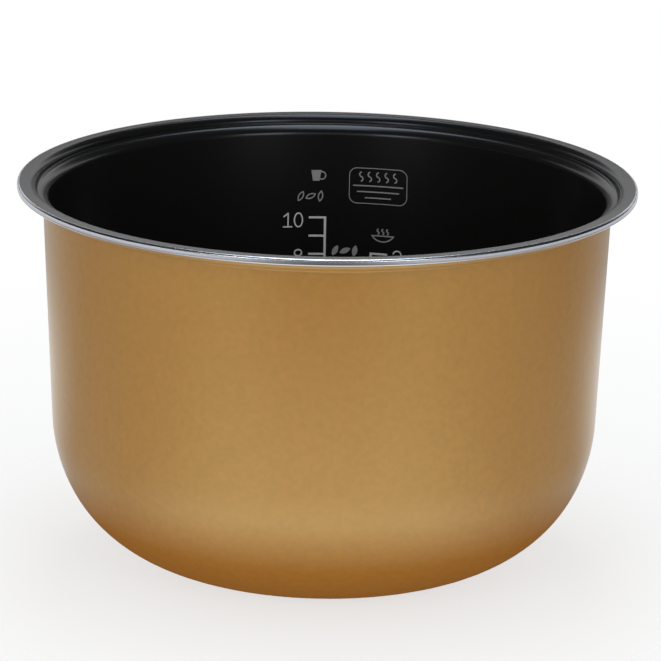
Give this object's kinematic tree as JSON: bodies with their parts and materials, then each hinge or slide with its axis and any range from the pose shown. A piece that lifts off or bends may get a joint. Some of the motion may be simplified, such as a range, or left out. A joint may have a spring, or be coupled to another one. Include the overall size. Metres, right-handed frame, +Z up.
{
  "type": "rice cooker inner pot",
  "caption": "Round drawn aluminium inner cooking pot of a rice cooker, with a stepped rim flange, black non-stick lining, gold outer coat and printed water scales.",
  "frame": {"origin": "centre of the base, on the surface that the pot stands on", "axes": "+Z up along the pot's axis, -Y towards the cook, +Y the side of the wall that carries the printed scales"},
  "size_m": [0.248, 0.248, 0.155],
  "materials": {
    "bare_metal": "turned, bright",
    "black_lining": "satin non-stick coat",
    "gold_coat": "satin metallic paint",
    "ink": "printed, matt"
  },
  "bodies": {
    "root": {"pan_core": "bare_metal", "rim_flange": "bare_metal", "nonstick_lining": "black_lining", "wall_coat": "gold_coat", "base_coat": "gold_coat", "rice_scale": "ink", "rice_numbers": "ink", "brown_rice_scale": "ink", "brown_rice_numbers": "ink", "congee_scale": "ink", "congee_numbers": "ink", "cup_mark": "ink", "rice_mark": "ink", "brown_rice_mark": "ink", "congee_mark": "ink", "badge_frame": "ink"}
  },
  "joints": []
}
